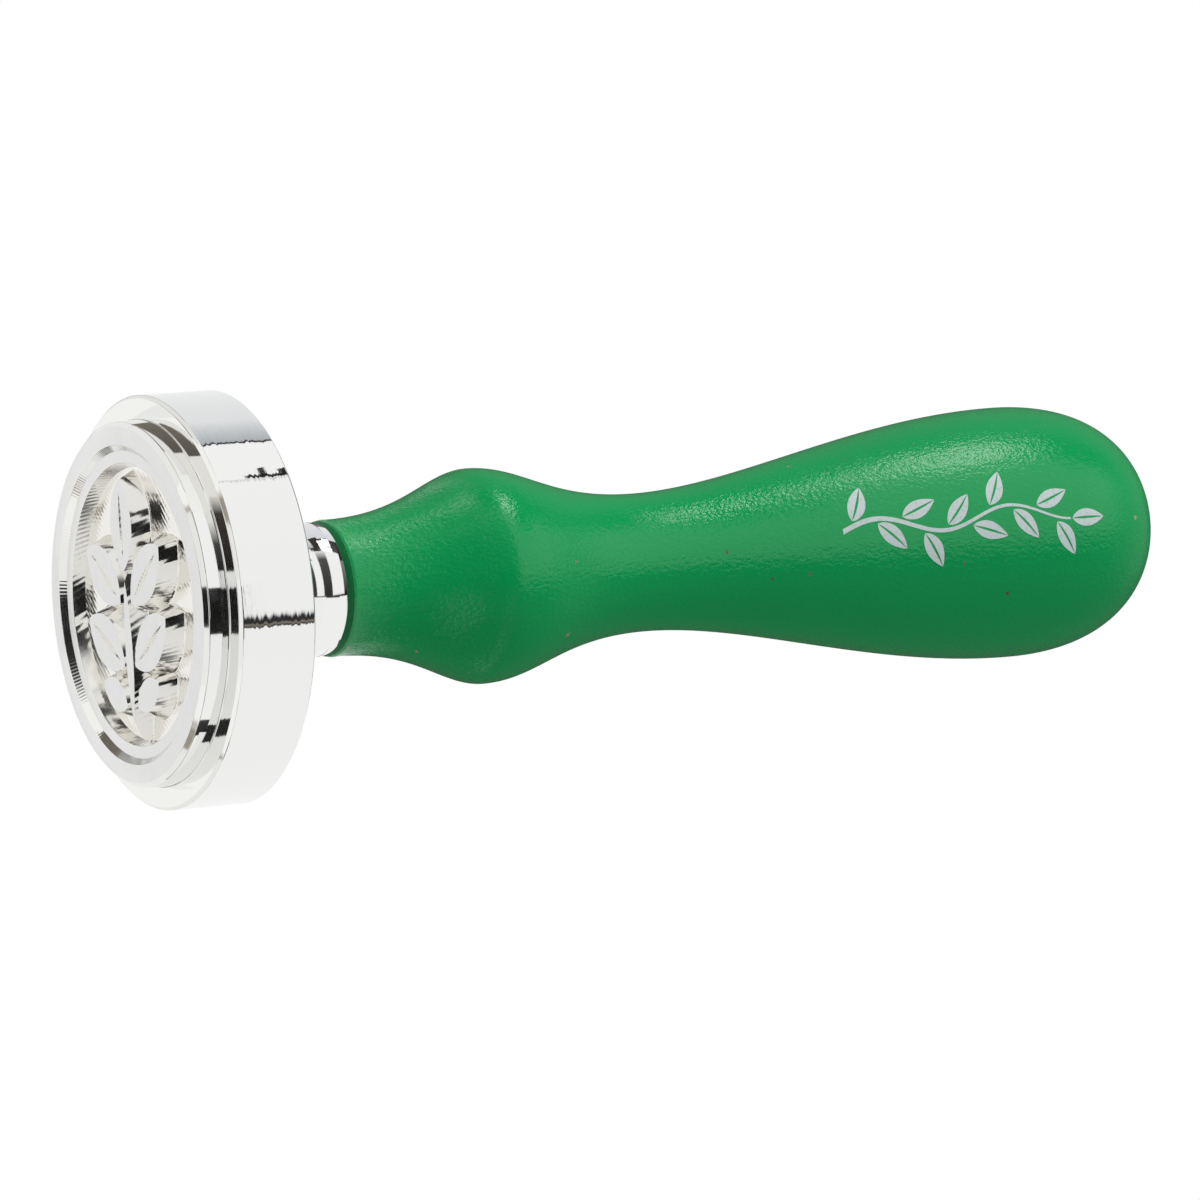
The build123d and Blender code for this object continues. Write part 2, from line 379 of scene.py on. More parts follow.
def sprigDistance(x, y):
    shapes = [(dieHead["leaf"], p) for p in dieHead["leaves"]]
    shapes += [(dieHead["bud"], p) for p in dieHead["buds"]]
    shapes += [(dieHead["stem"], p) for p in dieHead["stems"]]
    return np.min([lensDistance(x, y, lens, place) for lens, place in shapes], axis=0)


def veinDistance(x, y):
    return np.min([lensDistance(x, y, dieHead["vein"], place) for place in dieHead["leaves"]], axis=0)


def snapToEdge(distance, x, y, ringStep, turnStep):
    # moves the points nearest to an edge onto it, so that the edge stays crisp
    tiny = 1e-7
    gap = distance(x, y)
    slopeX, slopeY = (distance(x + tiny, y) - gap) / tiny, (distance(x, y + tiny) - gap) / tiny
    radius = np.hypot(x, y)
    outward = np.abs(slopeX * x + slopeY * y) / radius
    around = np.abs(slopeY * x - slopeX * y) / radius
    near = np.abs(gap) < 0.5 * (outward * ringStep + around * radius * turnStep)
    size = np.maximum(slopeX ** 2 + slopeY ** 2, 0.1)
    return x - np.where(near, gap * slopeX / size, 0), y - np.where(near, gap * slopeY / size, 0)


def reliefDepth(x, y):
    floor = dieHead["pocketFloor"][1]
    wall = np.maximum(sprigDistance(x, y), 0) / math.tan(dieHead["draft"])
    blend = np.clip(0.5 + 0.5 * (floor - wall) / dieHead["floorRound"], 0, 1)
    depth = floor * (1 - blend) + wall * blend - dieHead["floorRound"] * blend * (1 - blend)
    vein = np.clip(-veinDistance(x, y) / math.tan(dieHead["veinDraft"]), 0, dieHead["veinDepth"])
    return np.maximum(np.maximum(depth, 0), vein)


def reliefNormals(corners, inward=0.25):
    # slopes of the true surface just inside each corner of each triangle
    tiny = 2e-7
    inside = corners + inward * (corners.mean(axis=3, keepdims=True) - corners)
    x, y = inside[..., 0], inside[..., 1]
    depth = reliefDepth(x, y)
    slopeX, slopeY = (reliefDepth(x + tiny, y) - depth) / tiny, (reliefDepth(x, y + tiny) - depth) / tiny
    normals = np.stack([slopeX, slopeY, 0 * depth - 1], axis=-1)
    return normals / np.linalg.norm(normals, axis=-1, keepdims=True)


def makeDieHead(plates):
    number = {name: k for k, name in enumerate(plates)}
    sides, count = dieHead["sides"], dieHead["faceRings"]
    edge, floor = dieHead["pocketFloor"]
    radii = np.linspace(edge / count, edge, count)
    face = spin(np.stack([radii, 0 * radii], axis=1), sides)
    x, y = face[:, :, 0].copy(), face[:, :, 1].copy()
    steps = edge / count, 2 * math.pi / sides
    x[:-1], y[:-1] = snapToEdge(sprigDistance, x[:-1], y[:-1], *steps)
    x[:-1], y[:-1] = snapToEdge(veinDistance, x[:-1], y[:-1], *steps)
    depth = reliefDepth(x, y)
    depth[-1] = floor
    face = np.stack([x, y, depth], axis=2)

    # each quad is cut along the diagonal that lies closer to the true surface
    a, d = face[:-1], face[1:]
    b, c = np.roll(a, -1, axis=1), np.roll(d, -1, axis=1)
    sag = [np.abs(reliefDepth((p + q)[..., 0] / 2, (p + q)[..., 1] / 2) - (p + q)[..., 2] / 2)
           for p, q in ((a, c), (b, d))]
    cuts = sag[0] <= sag[1]
    corners = diagonals(a, b, c, d, cuts)
    ground = corners[..., 2].max(axis=3) < dieHead["topFlat"]
    faceFinish = np.where(ground, number["satin"], number["milled"])

    outlineCorners = [(edge, floor, 0, number["milled"])]
    for r, height, soft, plate in dieHead["outline"]:
        outlineCorners.append((r * mm, height * mm, soft * mm, number[plate]))
    outline, runs = softCorners(outlineCorners)
    body = spin(outline[1:], sides)
    runFinish = np.repeat(np.array(runs[:-1])[:, None], sides, axis=1)
    head = ringMesh("dieHead", np.concatenate([face, body]), runFinish, plates.values(), (0, 0, 0),
                    (0, 0, dieHead["drillTip"]), cuts, faceFinish)
    normals = np.zeros((len(head.data.loops), 3))  # a zero keeps the mesh's own normal
    relief = reliefNormals(corners).reshape(-1, 3)
    normals[:len(relief)] = relief
    head.data.normals_split_custom_set(normals.tolist())
    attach(head, "head")
    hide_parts("stamp_head")


plates = {
    "satin": satinPlate(),
    "mirror": mirrorPlate(),
    "turned": turnedPlate(),
    "milled": milledPlate(),
    "ribbed": ribbedPlate(),
}
makeDieHead(plates)
print("die head made")

# ball collar between the head and the handle

ballCollar = {
    "sides": 240,
    "bore": 3.08 * mm,
    "foot": (5.18 * mm, 9.8 * mm, 11.1 * mm),
    "neck": 4.28 * mm,
    "ball": (6.25 * mm, 18.2046 * mm),
    "ballSteps": 44,
    "backFace": 19.5046 * mm,
    "softs": (0.15 * mm, 0.25 * mm, 0.4 * mm, 0.3 * mm),  # bore, foot below, foot above and neck
    "boreJoin": 0.1 * mm,  # where the outline starts, below the back face
}


def makeCollar(finish):
    bore, neck = ballCollar["bore"], ballCollar["neck"]
    foot, low, high = ballCollar["foot"]
    radius, centre = ballCollar["ball"]
    first = -math.acos(neck / radius)
    last = math.asin((ballCollar["backFace"] - centre) / radius)
    turns = zip([(bore, low), (foot, low), (foot, high), (neck, high)], ballCollar["softs"])
    corners = [(bore, ballCollar["backFace"] - ballCollar["boreJoin"], 0, 0)]
    corners += [(r, height, soft, 0) for (r, height), soft in turns]
    angles = np.linspace(first, last, ballCollar["ballSteps"])
    ball = [(radius * math.cos(a), centre + radius * math.sin(a), 0, 0) for a in angles]
    close = [(bore, ballCollar["backFace"], 0, 0), corners[0]]
    outline, runs = softCorners(corners + ball + close)
    collar = ringMesh("ballCollar", spin(outline, ballCollar["sides"]),
                      np.zeros((len(outline) - 1, ballCollar["sides"]), int), [finish])
    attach(collar, "collar_ring")
    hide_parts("collar")


makeCollar(plates["mirror"])
print("collar made")

# turned handle in semi-gloss paint

woodHandle = {
    "sides": 256,
    "shankHole": (3.05 * mm, 22.0046 * mm),
    "pilotHole": (2.4 * mm, 44.5046 * mm),
    "front": 19.5046 * mm,
    "neckRadius": 6.35 * mm,
    "axisGap": 0.05 * mm,  # the pilot hole's end closes round this
    "holeSoft": 0.1 * mm,
    "endTurning": [  # radius, distance behind the front, softness, and paint: 0 is the full green and 1 is the darker paint that carries painted shade
        (6.08, 0.00, 0.05, 1),
        (6.31, 0.46, 0.16, 1),
        (6.21, 0.60, 0.05, 0),
        (6.38, 0.82, 0.20, 0),
    ],
    "spans": [  # end radius, end height, ease out of the start, ease into the end
        (10.10, 35.8046, 8.5, 3.3),
        (6.55, 53.3046, 5.1, 9.4),
        (12.15, 93.7046, 11.8, 15.1),
    ],
    "neckEnd": 20.8046 * mm,
    "end": (108.6046 * mm, 8.0 * mm, 9.1 * mm),  # height, ease out of the belly, ease into the end
    "spanSteps": 46,
}


def handleOutline():
    # the painted skin only, from the neck to the end
    points = []
    radius, height = woodHandle["neckRadius"], woodHandle["neckEnd"]
    for endRadius, endHeight, easeOut, easeIn in woodHandle["spans"]:
        endRadius, endHeight = endRadius * mm, endHeight * mm
        points += interpolate_bezier(
            (radius, height), (radius, height + easeOut * mm),
            (endRadius, endHeight - easeIn * mm), (endRadius, endHeight), woodHandle["spanSteps"])[:-1]
        radius, height = endRadius, endHeight
    top, easeOut, easeIn = woodHandle["end"]
    points += interpolate_bezier((radius, height), (radius, height + easeOut), (easeIn, top), (0, top),
                                 woodHandle["spanSteps"])[:-1]
    return np.array([(p[0], p[1]) for p in points])


def makeHandle(paints):
    front = woodHandle["front"]
    shank, shankTop = woodHandle["shankHole"]
    pilot, pilotTop = woodHandle["pilotHole"]
    hole = [(pilot, pilotTop), (pilot, shankTop), (shank, shankTop), (shank, front)]
    corners = [(woodHandle["axisGap"], pilotTop, 0, 0)]
    corners += [(r, height, woodHandle["holeSoft"], 0) for r, height in hole]
    for r, behind, soft, paintPick in woodHandle["endTurning"]:
        corners.append((r * mm, front + behind * mm, soft * mm, paintPick))
    skin = handleOutline()
    corners += [(skin[0][0], skin[0][1], 0, 0)]
    inside, runs = softCorners(corners)
    outline = np.concatenate([inside, skin[1:]])
    paintPicks = runs[:-1] + [0] * (len(skin) - 1)
    handle = ringMesh("woodHandle", spin(outline, woodHandle["sides"]),
                      np.repeat(np.array(paintPicks)[:, None], woodHandle["sides"], axis=1), paints,
                      (0, 0, pilotTop), (0, 0, woodHandle["end"][0]))
    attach(handle, "grip")
    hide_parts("handle")


def greenPaint():
    look = {"light": (0.001, 0.362, 0.094, 1), "dark": (0.001, 0.327, 0.084, 1),
            "cloudScale": (180, 180, 60), "gloss": (0.10, 0.18), "ior": 1.45,
            "pale": (0.46, 0.30, 0.23, 1), "brown": (0.09, 0.06, 0.04, 1),
            "cells": 300.0, "frayScale": 5000.0, "fray": 0.6 * mm, "speck": 0.085, "bare": 0.3,
            "peel": 0.065 * mm, "peelScale": (3000, 3000, 2300),
            "grain": 0.05 * mm, "grainScale": (1300, 1300, 260),
            "turning": 0.012 * mm, "turningScale": (130, 130, 2300)}
    material, nodes, links, shader = newFinish("greenPaint")
    shader.inputs["IOR"].default_value = look["ior"]
    cloud = stretchedNoise(nodes, links, look["cloudScale"], 4)
    green = mixColours(nodes, links, cloud, look["dark"], look["light"])

    # a few specks where the wood shows through
    place = addNode(nodes, "ShaderNodeTexCoord").outputs["Object"]
    cells = addNode(nodes, "ShaderNodeTexVoronoi", inputs={"Scale": look["cells"]})
    fray = addNode(nodes, "ShaderNodeTexNoise", inputs={"Scale": look["frayScale"]})
    links.new(place, fray.inputs["Vector"])
    frayed = joinedVectors(nodes, links, "MULTIPLY_ADD", fray.outputs["Color"], (look["fray"],) * 3, place)
    links.new(frayed, cells.inputs["Vector"])
    parts = addNode(nodes, "ShaderNodeSeparateColor")
    links.new(cells.outputs["Color"], parts.inputs["Color"])
    reach = spread(nodes, links, parts.outputs["Red"], 0.0, look["speck"], look["bare"], 1.0)
    inside = joined(nodes, links, "LESS_THAN", cells.outputs["Distance"], reach)
    wood = mixColours(nodes, links, parts.outputs["Green"], look["pale"], look["brown"])
    links.new(mixColours(nodes, links, inside, green, wood), shader.inputs["Base Color"])

    # brush grain, marks left by turning and the fine peel of the sprayed coat
    peel = stretchedNoise(nodes, links, look["peelScale"], 2)
    grain = stretchedNoise(nodes, links, look["grainScale"], 4, 0.6)
    turning = stretchedNoise(nodes, links, look["turningScale"], 2)
    links.new(spread(nodes, links, grain, *look["gloss"]), shader.inputs["Roughness"])
    low = bumpFrom(nodes, links, grain, look["grain"])
    low = bumpFrom(nodes, links, turning, look["turning"], under=low)
    links.new(bumpFrom(nodes, links, peel, look["peel"], under=low), shader.inputs["Normal"])
    return material


def shadedEndPaint():
    # the turned end that faces the ball is painted darker, as painted shade, and is duller
    # the two greens here are painted shade, far darker than the main paint
    look = {"colours": [(0.001, 0.11, 0.028, 1), (0.002, 0.17, 0.045, 1)], "gloss": (0.45, 0.6),
            "scale": (700, 700, 1800), "noise": (4,), "bump": 0.02 * mm, "shine": 0.2}
    material, shader = mottled("shadedEndPaint", look)
    shader.inputs["Specular IOR Level"].default_value = look["shine"]
    return material


makeHandle([greenPaint(), shadedEndPaint()])
print("handle made")

# leafy vine printed along the belly of the handle

vinePrint = {
    "start": 70.8 * mm,
    "length": 27.4 * mm,
    "turn": math.radians(260),
    "swing": (0.9 * mm, 13.5 * mm),  # to each side, and the length of one wave
    "stem": (0.26 * mm, 0.11 * mm),  # half width at the start and at the end
    "leaf": (3.7 * mm, 0.85 * mm),  # length and half width
    "leaves": 10,
    "ends": (1.2 * mm, 1.4 * mm),  # bare stem before the first leaf and after the last
    "leafSteps": (17, 5),
    "stemSteps": (90, 3),
    "blunt": 0.03,  # width of a leaf at its ends
    "taper": 0.85,
    "curl": 0.10,
    "lean": math.radians(40),
    "gap": 0.22 * mm,
    "midrib": 0.14,
    "film": (-0.02 * mm, 0.03 * mm),
}


def vineMiddle(along):
    swing, wave = vinePrint["swing"]
    return swing * np.sin(2 * math.pi * along / wave)


def filmRings(skin, along, across):
    # a thin film on the skin: each loop crosses its outer side and returns along its inner side
    height = vinePrint["start"] + along
    radius = np.interp(height, skin[:, 1], skin[:, 0])
    turn = vinePrint["turn"] - across / radius
    sheets = [np.stack([(radius + lift) * np.cos(turn), (radius + lift) * np.sin(turn), height], axis=2)
              for lift in vinePrint["film"]]
    return np.concatenate([sheets[1], sheets[0][:, ::-1]], axis=1)


def leafRings(skin, along, across, lean):
    # two halves either side of a bare midrib
    length, half = vinePrint["leaf"]
    blunt, taper = vinePrint["blunt"], vinePrint["taper"]
    stepsAlong, stepsAcross = vinePrint["leafSteps"]
    t = np.linspace(0, 1, stepsAlong)[:, None]
    wide = half * (blunt + (1 - blunt) * np.sin(math.pi * t ** taper) ** taper)
    rings = []
    for side in (-1, 1):
        c = side * np.linspace(vinePrint["midrib"], 1, stepsAcross)[None, :]
        out, over = t * length + 0 * c, wide * c + vinePrint["curl"] * length * np.sin(lean) * t ** 2
        rings.append(filmRings(skin, along + out * math.cos(lean) - over * math.sin(lean),
                               across + out * math.sin(lean) + over * math.cos(lean)))
    return rings


def makeVine(ink):
    skin = handleOutline()
    count, (before, after) = vinePrint["leaves"], vinePrint["ends"]
    stepsAlong, stepsAcross = vinePrint["stemSteps"]
    swing, wave = vinePrint["swing"]
    t = np.linspace(0, 1, stepsAlong)[:, None]
    stemEnd = vinePrint["length"] - vinePrint["leaf"][0] - vinePrint["gap"]
    along = t * stemEnd
    first, last = vinePrint["stem"]
    across = vineMiddle(along) + (first + (last - first) * t) * np.linspace(-1, 1, stepsAcross)[None, :]
    films = [filmRings(skin, along + 0 * across, across)]
    for k in range(count):
        side = -1 if k % 2 else 1
        at = before + k * (stemEnd - before - after) / (count - 1)
        climb = math.atan(2 * math.pi * swing / wave * math.cos(2 * math.pi * at / wave))
        off = side * (first + vinePrint["gap"])
        films += leafRings(skin, at - off * math.sin(climb), vineMiddle(at) + off * math.cos(climb),
                           climb + side * vinePrint["lean"])
    tip = stemEnd + vinePrint["gap"]
    films += leafRings(skin, tip, vineMiddle(tip), 0.0)

    points, faces = [], []
    for rings in films:
        index = len(points) + np.arange(rings.shape[0] * rings.shape[1]).reshape(rings.shape[:2])
        ahead = np.roll(index, -1, axis=1)
        points += rings.reshape(-1, 3).tolist()
        faces += np.stack([index[:-1], ahead[:-1], ahead[1:], index[1:]], axis=2).reshape(-1, 4).tolist()
        faces += [index[0].tolist(), index[-1].tolist()]
    mesh = bpy.data.meshes.new("vinePrint")
    mesh.from_pydata(points, [], faces)
    shell = bmesh.new()
    shell.from_mesh(mesh)
    bmesh.ops.recalc_face_normals(shell, faces=shell.faces)
    shell.to_mesh(mesh)
    shell.free()
    mesh.materials.append(ink)
    vine = bpy.data.objects.new("vinePrint", mesh)
    bpy.context.scene.collection.objects.link(vine)
    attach(vine, "grip")


def paleInk():
    look = {"colours": [(0.60, 0.69, 0.69, 1), (0.42, 0.58, 0.53, 1)], "cover": (1, 0, 0.32, 0.46),
            "gloss": (0.4, 0.55), "scale": (3600, 3600, 3600), "noise": (3, 0.6), "bump": 0.01 * mm}
    return mottled("paleInk", look)[0]


makeVine(paleInk())
print("vine printed")


# hanger bolt, seen between the head and the collar as the handle unscrews

def zincThread():
    look = {"colours": [(0.48, 0.47, 0.42, 1), (0.66, 0.66, 0.63, 1)], "gloss": (0.22, 0.4),
            "scale": (900, 900, 900), "noise": (5, 0.6), "bump": 0.004 * mm}
    material, shader = mottled("zincThread", look)
    shader.inputs["Metallic"].default_value = 1.0
    return material


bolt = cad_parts["hanger_bolt"]
bolt.data.materials.clear()
bolt.data.materials.append(zincThread())
print("bolt finished")

# studio: one-sided pale floor, soft lamps and a white surround

studio = {
    "floor": {"drop": 0.2 * mm, "radius": 0.9, "sides": 128, "rings": 12,
              "colour": (0.86, 0.86, 0.86, 1), "haze": 0.9},
    "ambient": 0.48,
    "backdrop": (1, 1, 1, 1),
    "lamps": [  # name, turn, rise, distance, size, how bright a white face square to it looks
        ("keyLamp", 60, 14, 1.2, 0.9, 0.56),
        ("topLamp", 20, 78, 1.1, 1.0, 0.27),
        ("backLamp", 180, 35, 1.2, 1.0, 0.35),
    ],
    "tent": [  # turn in degrees from -Y towards -X, then how bright the surround is there
        (-180, 0.06), (-120, 0.13), (-30, 0.15), (-24, 0.03), (-10.6, 0.03), (-9.6, 0.94), (68.5, 0.96),
        (69.5, 0.08), (92, 0.05), (97, 0.03), (100, 0.28), (140, 0.22), (180, 0.06),
    ],
    "under": {"dark": (0.34, 0.31, 0.26, 1), "light": (0.97, 0.968, 0.955, 1), "scale": 2.6,
              "patches": (0.36, 0.47), "sink": (-0.12, -0.3)},
    "glare": {"middle": (0, 0.88, -0.47), "reach": (0.62, 0.85)},
    "spot": {"middle": (-0.22, 0.06, -0.97), "reach": (0.945, 0.96), "colour": (0.01, 0.01, 0.01, 1)},
    "overhead": {"colour": (0.28, 0.28, 0.28, 1), "lift": (0.82, 0.97)},
    # name, radius (or one for each height), turns, heights in mm, grey or colour at the first and last turn
    "cards": [
        # highlights and shade in the handle's paint
        ("lampLow", 500, (69, 89.7), (150, 215), 2, 2),
        ("lampHigh", 500, (69, 89.7), (215, 345), 6, 6),
        ("kicker", 25, (66, 86), (28, 32), 0.4, 3),
        ("bulbShade", 26, (-95, -13), (25.2, 30.5), 0.1, 0.1),
        ("bulbDark", 35, (-24, 48), (20.3, 29.2), 0.015, 0.08),
        ("bulbFade", 35, (48, 61), (20.3, 29.2), 0.08, 0.75),
        ("bulbUnder", 70, (-26, 50), (-15.4, 9.5), 0.03, 0.06),
        ("ballBlock", 35, (62, 88), (20.3, 27.5), (0.04, 0.035, 0.03), (0.04, 0.035, 0.03)),
        ("crestShade", 19.6, (-9.1, 46.6), (31.9, 37.1), 0.01, 0.25),
        ("crestEdge", 19.6, (-9.1, 46.6), (37.1, 38.8), 0.4, 0.6),
        # bars and bright edges of the rim
        ("rimBar", 120, (-20, 7.6), (32, 49.5), 0.01, 0.01),
        ("rimEdge", 120, (-27, 14), (-380, -245), 0.01, 0.01),
        ("edgeLow", 120, (-165, -27), (-380, -160), (0.90, 0.90, 0.89), (0.90, 0.90, 0.89)),
        ("edgeFront", 120, (-27, 14), (-245, -160), (0.93, 0.93, 0.92), (0.93, 0.93, 0.92)),
        ("edgeHigh", 120, (14, 165), (-380, -160), (0.86, 0.86, 0.84), (0.90, 0.89, 0.86)),
        ("edgeTop", 18, (48, 112), (-5, -0.4), (0.88, 0.88, 0.87), (0.88, 0.88, 0.87)),
        ("edgeCrown", 17.2, (83, 165), (-1, 0.55), (0.88, 0.88, 0.87), (0.90, 0.90, 0.89)),
        ("edgeFoot", 17.2, (-165, -75), (-1, 0.6), (0.90, 0.90, 0.89), (0.90, 0.90, 0.89)),
        ("edgeBody", 19.1, (50, 165), (1.97, 2.58), (0.80, 0.80, 0.79), (0.86, 0.86, 0.85)),
        ("edgeBase", 19.1, (-165, -50), (1.97, 2.58), (0.88, 0.88, 0.87), (0.86, 0.86, 0.85)),
        ("bevelDark", 30, (8, 84), (-95, -42), 0.01, 0.03),
        ("bevelFade", 30, (84, 108), (-70, -34), 0.03, (0.8, 0.8, 0.79)),
        ("gapHigh", 50, (45, 100), (60, 75), 0.02, (0.05, 0.045, 0.04)),
        # the rim's wall and the head's side
        ("wallFoot", 30, (-165, -67), (3, 7.8), 0.97, 0.95),
        ("wallNick", 30, (-67, -57), (3, 7.8), 0.015, 0.04),
        ("wallLow", 30, (-57, -14), (3, 7.8), 0.95, 0.90),
        ("headLow", 30, (-165, -10.4), (7.8, 21), 0.97, 0.93),
        ("headLine", 30, (-9.8, -8.8), (7.8, 21), (0.22, 0.20, 0.17), (0.15, 0.13, 0.105)),
        ("nickLine", 28, (47.0, 48.4), (10.4, 15.6), 0.03, 0.03),
        ("nickTall", 28, (47.0, 51.5), (11.9, 12.6), 0.01, 0.03),
        ("nickBack", 28, (47.0, 50.5), (13.9, 14.8), 0.01, 0.03),
        ("headLamp", 30, (48.2, 67.4), (8.3, 18), 0.97, 0.97),
        ("wallUp", 30, (40, 82), (2.5, 8.3), 0.95, (0.88, 0.87, 0.83)),
        ("headHigh", 30, (68.5, 84), (8.5, 21), (0.45, 0.47, 0.50), (0.80, 0.815, 0.83)),
        ("headTop", 30, (84, 165), (8.5, 21), (0.80, 0.815, 0.83), (0.97, 0.98, 0.98)),
        ("headBrown", 30, (82, 128), (2.5, 8.5), (0.14, 0.12, 0.10), (0.26, 0.23, 0.19)),
        ("headFoot", 30, (128, 165), (2.5, 8.5), (0.5, 0.5, 0.48), 0.9),
        # sloping boards for the ball, which the handle doesn't see
        ("ballLow", (30, 14.6), (-165, -11.6), (20, 25), 0.95, 0.95),
        ("ballBack", (31.5, 20.5), (-100, -12), (35.5, 35.5), 0.95, 0.95),
        ("ballFoot", (19.4, 15), (-165, -89), (28, 28), 0.95, 0.95),
        ("ballTop", (30, 20), (86.5, 160), (20, 23.3), (0.72, 0.74, 0.78), (0.90, 0.90, 0.92)),
        ("ballCrown", (20, 14.6), (82, 160), (23.3, 25), (0.72, 0.74, 0.78), (0.90, 0.90, 0.92)),
        ("ballRoof", (31.5, 20.5), (87, 132), (35.5, 35.5), (0.72, 0.74, 0.78), (0.90, 0.90, 0.92)),
        # the flat of the rim
        ("landFoot", 300, (-165, -95), (-195, -80), (0.90, 0.90, 0.89), (0.86, 0.86, 0.85)),
        ("landNick", 300, (-95, -80), (-195, -80), 0.02, 0.02),
        ("landLow", 300, (-80, -21.5), (-195, -80), (0.86, 0.86, 0.85), (0.80, 0.80, 0.79)),
        ("landSlot", 300, (-21.5, 7.2), (-195, -80), 0.01, 0.01),
        ("landGap", 300, (7.2, 17.5), (-195, -80), 0.80, (0.90, 0.90, 0.89)),
        ("landStreak", 300, (17.5, 56), (-195, -130), (0.012, 0.01, 0.008), (0.05, 0.045, 0.04)),
        ("landFade", 300, (56, 68), (-195, -130), (0.05, 0.045, 0.04), (0.75, 0.74, 0.70)),
        ("landHigh", 300, (68, 103), (-195, -130), (0.88, 0.87, 0.84), (0.90, 0.89, 0.86)),
        ("wallStreak", 300, (17.5, 34), (-130, -80), 0.012, 0.06),
        ("wallFade", 300, (34, 48), (-130, -80), 0.06, (0.85, 0.85, 0.84)),
        ("wallHigh", 300, (48, 103), (-130, -80), (0.90, 0.90, 0.88), (0.88, 0.87, 0.83)),
        ("landBrown", 300, (103, 152), (-195, -80), (0.11, 0.10, 0.085), (0.20, 0.18, 0.15)),
    ],
    "cardSteps": 24,
}


def direction(turn, rise):
    # turn is measured from -Y towards -X, rise is above the floor, both in degrees
    turn, rise = math.radians(turn), math.radians(rise)
    return Vector((-math.sin(turn) * math.cos(rise), -math.cos(turn) * math.cos(rise), math.sin(rise)))


def softLamp(name, turn, rise, away, size, level, aim):
    lamp = bpy.data.lights.new(name, "AREA")
    lamp.shape = "SQUARE"
    lamp.size = size
    lamp.energy = level * math.pi ** 2 * away ** 2
    holder = bpy.data.objects.new(name, lamp)
    holder.location = aim + direction(turn, rise) * away
    holder.rotation_euler = (aim - holder.location).to_track_quat("-Z", "Y").to_euler()
    holder.visible_glossy = False
    bpy.context.scene.collection.objects.link(holder)


def oneSided(nodes, links, surface):
    # clear when seen from the back
    side = addNode(nodes, "ShaderNodeNewGeometry")
    clear = addNode(nodes, "ShaderNodeBsdfTransparent")
    pick = addNode(nodes, "ShaderNodeMixShader")
    links.new(side.outputs["Backfacing"], pick.inputs["Fac"])
    links.new(surface, pick.inputs[1])
    links.new(clear.outputs["BSDF"], pick.inputs[2])
    links.new(pick.outputs["Shader"], nodes["Material Output"].inputs["Surface"])


def makeFloor():
    look = studio["floor"]
    sides, rings, level = look["sides"], look["rings"], -look["drop"]
    outline = np.array([(look["radius"] * k / rings, level) for k in range(rings, 0, -1)])
    material, nodes, links, shader = newFinish("paleFloor")
    shader.inputs["Base Color"].default_value = look["colour"]
    shader.inputs["Roughness"].default_value = look["haze"]
    oneSided(nodes, links, shader.outputs["BSDF"])
    floor = ringMesh("floor", spin(outline, sides), np.zeros((rings - 1, sides), int), [material],
                     lastPole=(0, 0, level))
    floor.visible_diffuse = False
    floor.visible_glossy = False
    floor.visible_transmission = False
    floor.visible_shadow = False


def cardGlow():
    material, nodes, links, shader = newFinish("cardGlow")
    tint = addNode(nodes, "ShaderNodeVertexColor", {"layer_name": "glow"})
    glow = addNode(nodes, "ShaderNodeEmission")
    links.new(tint.outputs["Color"], glow.inputs["Color"])
    oneSided(nodes, links, glow.outputs["Emission"])
    material.cycles.emission_sampling = "NONE"
    return material


def makeCard(finish, name, radius, turns, heights, first, last):
    # a curved board round the stamp that only shows in reflections
    radii, first, last = np.broadcast_to(radius, 2), np.broadcast_to(first, 3), np.broadcast_to(last, 3)
    steps = studio["cardSteps"]
    mesh = bpy.data.meshes.new(name)
    points, tints = [], []
    for k in range(steps + 1):
        t = k / steps
        out = direction(turns[0] + (turns[1] - turns[0]) * t, 0) * mm
        tint = [*(first + (last - first) * t), 1]
        points += [(out.x * r, out.y * r, height * mm) for r, height in zip(radii, heights)]
        tints += tint * 2
    mesh.from_pydata(points, [], [(2 * k, 2 * k + 2, 2 * k + 3, 2 * k + 1) for k in range(steps)])
    mesh.color_attributes.new("glow", "FLOAT_COLOR", "POINT").data.foreach_set("color", tints)
    mesh.materials.append(finish)
    card = bpy.data.objects.new(name, mesh)
    bpy.context.scene.collection.objects.link(card)
    card.visible_camera = False
    card.visible_diffuse = False
    card.visible_shadow = False
    card.visible_transmission = False


